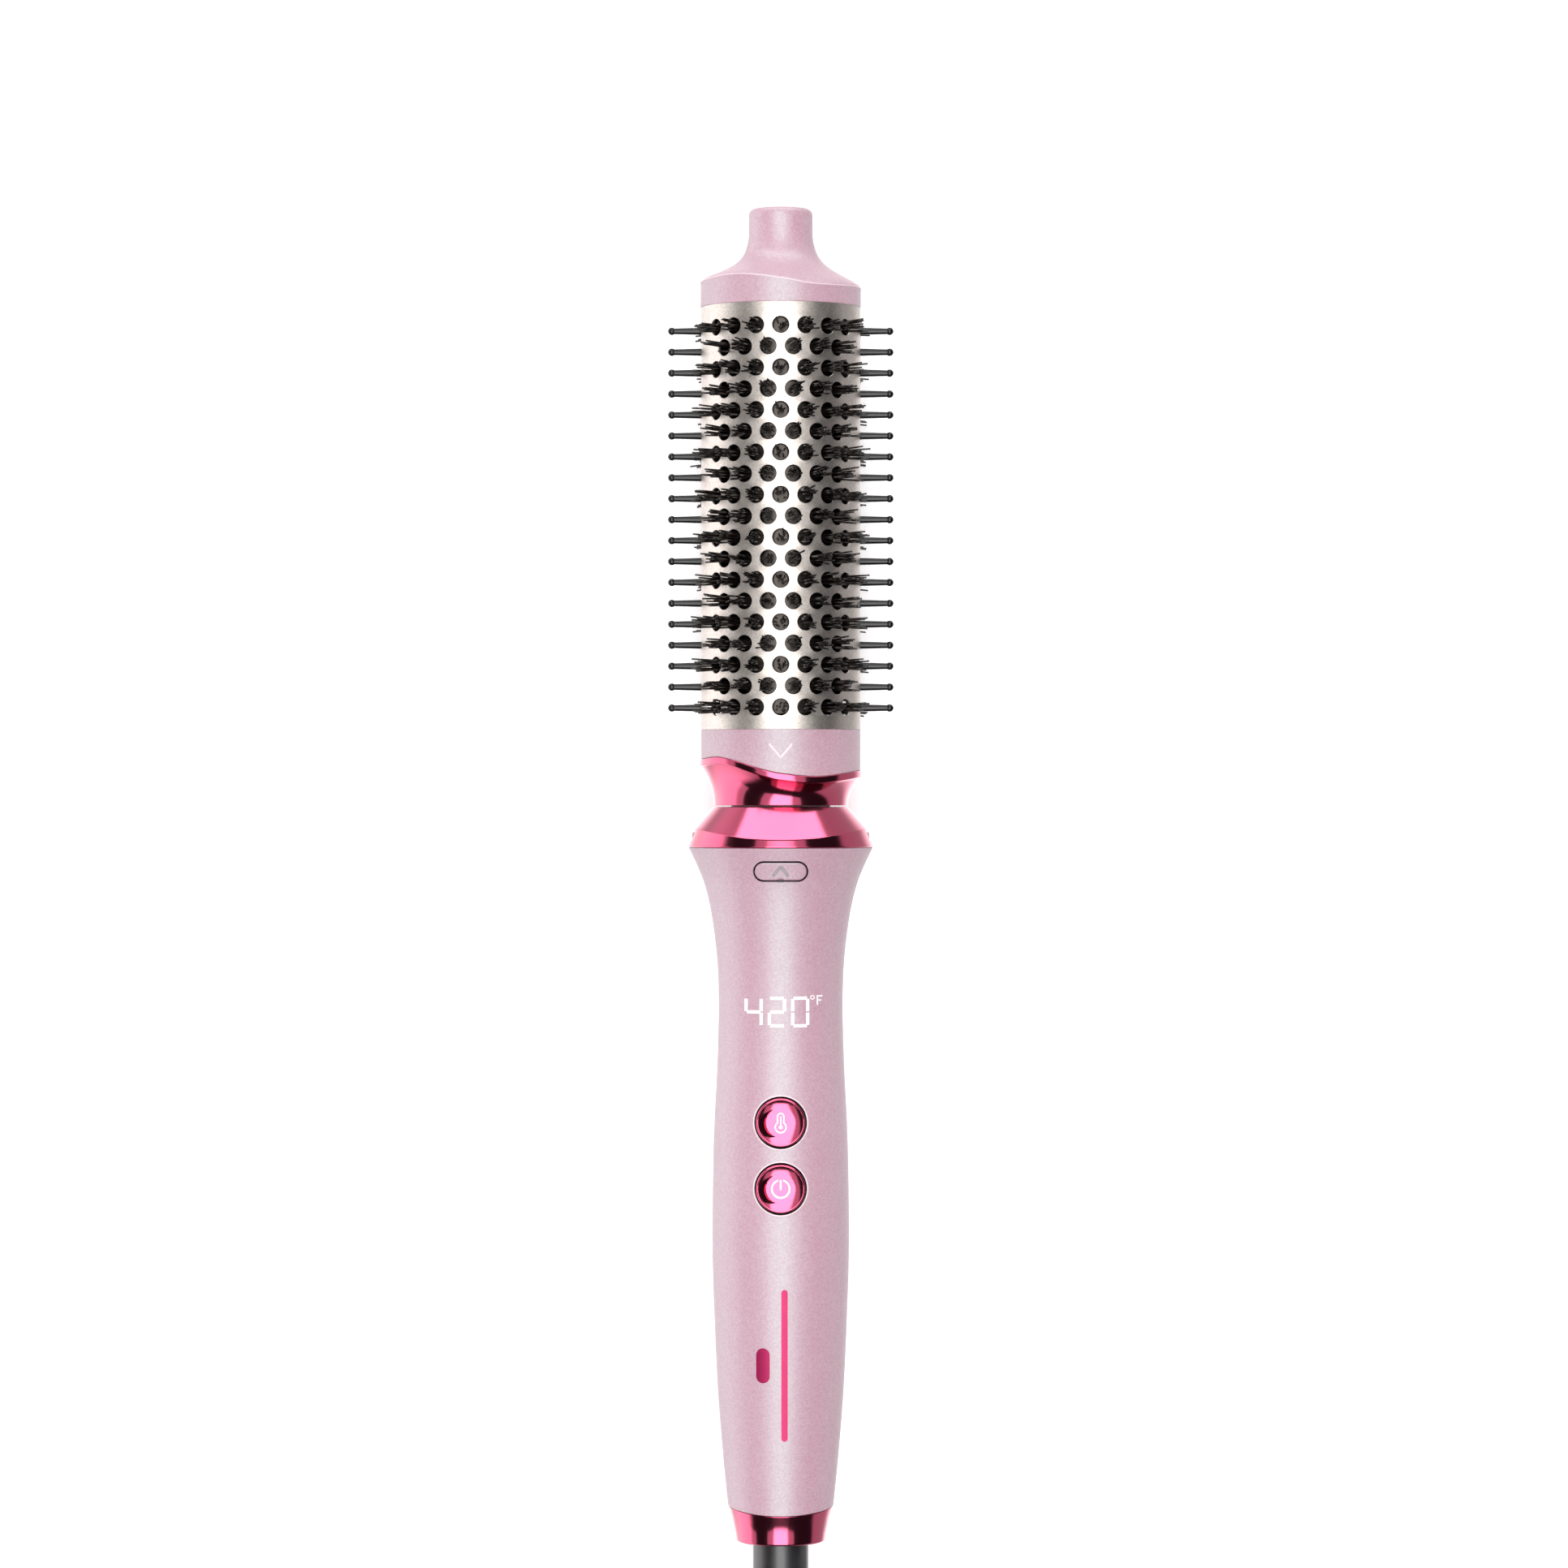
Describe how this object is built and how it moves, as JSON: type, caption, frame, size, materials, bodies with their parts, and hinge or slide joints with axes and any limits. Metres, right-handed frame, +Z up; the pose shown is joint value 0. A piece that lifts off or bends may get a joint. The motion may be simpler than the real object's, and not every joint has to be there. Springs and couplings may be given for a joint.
{
  "type": "hot air brush",
  "caption": "Round heated styling brush: plug-in barrel head with bristles and side pins, waisted pink handle with display and buttons, swivel mains cord.",
  "frame": {"origin": "on the surface that the brush lies on, under the middle of its length without the cord", "axes": "+Y along the brush towards its cool tip, +Z up out of the side with the buttons, +X to the right seen from above with the tip ahead"},
  "size_m": [0.054, 0.6246, 0.0461],
  "materials": {
    "pearl_pink_plastic": "pearl-lacquered pink plastic, satin",
    "pink_socket_plastic": "plain pink heat-resistant plastic",
    "plated_magenta": "tinted bright plating on plastic",
    "satin_barrel_metal": "satin champagne coated aluminium",
    "bristle_nylon": "dark nylon bristle",
    "pin_nylon": "black moulded nylon",
    "dark_plastic": "dark grey plastic",
    "ceramic_white": "white ceramic-filled insulator",
    "white_plastic": "natural white plastic",
    "wire_sleeve": "silicone wire sleeve",
    "bare_aluminium": "extruded aluminium",
    "copper_alloy": "copper alloy",
    "bright_steel": "bright nickel-plated steel",
    "plug_brass": "nickel-plated brass blades",
    "board_green": "green solder mask",
    "lit_white": "lit or printed white",
    "grey_rubber": "satin dark grey soft plastic",
    "cord_pvc": "black PVC",
    "tie_fabric": "black hook-and-loop strap"
  },
  "bodies": {
    "handle": {"lock_collar": "plated_magenta", "socket_liner": "pink_socket_plastic", "socket_contacts": "copper_alloy", "socket_leads": "wire_sleeve", "latch_clip": "bright_steel", "front_shell": "pearl_pink_plastic", "rear_shell": "pearl_pink_plastic", "display_module": "dark_plastic", "display_digits": "lit_white", "control_board": "board_green", "tact_switches": "dark_plastic", "power_parts": "dark_plastic", "chassis": "white_plastic", "board_screws": "bright_steel", "end_ring": "plated_magenta", "swivel_housing": "dark_plastic", "slip_brushes": "copper_alloy", "mains_wires": "wire_sleeve", "release_springs": "bright_steel", "cord_lead": "cord_pvc", "cord_hank": "cord_pvc", "cord_tail": "cord_pvc", "cord_tie": "tie_fabric", "plug_body": "cord_pvc", "plug_blades": "plug_brass"},
    "brush_head": {"tip_cap": "pearl_pink_plastic", "tip_insulator": "ceramic_white", "barrel": "satin_barrel_metal", "front_bristle_carrier": "dark_plastic", "rear_bristle_carrier": "dark_plastic", "front_tufts": "bristle_nylon", "rear_tufts": "bristle_nylon", "resting_tufts": "bristle_nylon", "left_pin_rail": "pin_nylon", "right_pin_rail": "pin_nylon", "front_heat_spreader": "bare_aluminium", "rear_heat_spreader": "bare_aluminium", "heater_plate": "ceramic_white", "thermistor": "copper_alloy", "thermal_fuse": "bright_steel", "heater_wires": "wire_sleeve", "barrel_collar": "pearl_pink_plastic", "wave_ring": "plated_magenta", "spigot": "pink_socket_plastic", "spigot_lid": "pink_socket_plastic", "contact_pins": "bright_steel", "head_screws": "bright_steel"},
    "release": {"release_button": "pearl_pink_plastic", "latch_yoke": "dark_plastic"},
    "temperature_key": {"temperature_button": "plated_magenta", "temperature_icon": "lit_white"},
    "power_key": {"power_button": "plated_magenta", "power_icon": "lit_white"},
    "swivel": {"swivel_stem": "grey_rubber", "slip_rings": "copper_alloy", "strain_relief": "grey_rubber"}
  },
  "joints": [
    {"name": "head_slide", "type": "slide", "parent": "handle", "child": "brush_head", "axis": [0, 1, 0], "range_m": [0, 0.045], "deforming": ["latch_clip"]},
    {"name": "release_press", "type": "slide", "parent": "handle", "child": "release", "axis": [0, 0, -1], "range_m": [0, 0.001], "stiffness_N_per_m": 1500, "springref_m": -0.001, "deforming": ["release_springs"]},
    {"name": "temperature_press", "type": "slide", "parent": "handle", "child": "temperature_key", "axis": [0, 0, -1], "range_m": [0, 0.0005], "stiffness_N_per_m": 3000, "springref_m": -0.0003},
    {"name": "power_press", "type": "slide", "parent": "handle", "child": "power_key", "axis": [0, 0, -1], "range_m": [0, 0.0005], "stiffness_N_per_m": 3000, "springref_m": -0.0003},
    {"name": "cord_swivel", "type": "hinge", "parent": "handle", "child": "swivel", "pos_m": [0, -0.13735, 0.0223], "axis": [0, 1, 0], "continuous": true}
  ]
}
